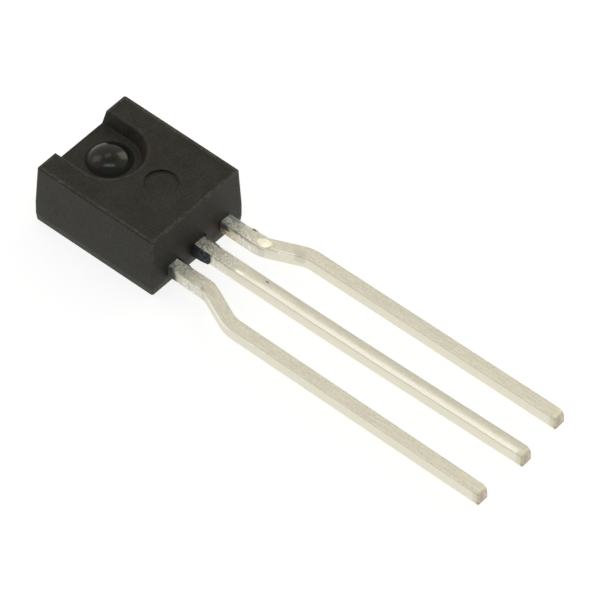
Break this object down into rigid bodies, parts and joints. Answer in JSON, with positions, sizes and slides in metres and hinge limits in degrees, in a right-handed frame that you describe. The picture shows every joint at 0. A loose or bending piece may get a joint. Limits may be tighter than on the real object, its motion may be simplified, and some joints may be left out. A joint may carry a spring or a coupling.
{
  "type": "photo sensor",
  "caption": "Side-looking photo sensor: black moulded body with a recessed dome lens, on a row of formed square leads.",
  "frame": {"origin": "where the lens axis meets the flat back of the moulding", "axes": "+Z along the lens axis, out of the front face; the leads run along -Y; +X across the body"},
  "size_m": [0.0047, 0.0196, 0.0025],
  "materials": {
    "epoxy": "matte moulded epoxy, polished on the lens",
    "tinned_lead": "dull tin plate",
    "silver_adhesive": "silver-filled adhesive",
    "silicon": "polished chip",
    "gold": "drawn gold wire"
  },
  "bodies": {
    "root": {"moulded_body": "epoxy", "left_lead": "tinned_lead", "centre_lead": "tinned_lead", "right_lead": "tinned_lead", "die_attach": "silver_adhesive", "sensor_chip": "silicon", "left_bond_wire": "gold", "right_bond_wire": "gold"}
  },
  "joints": []
}
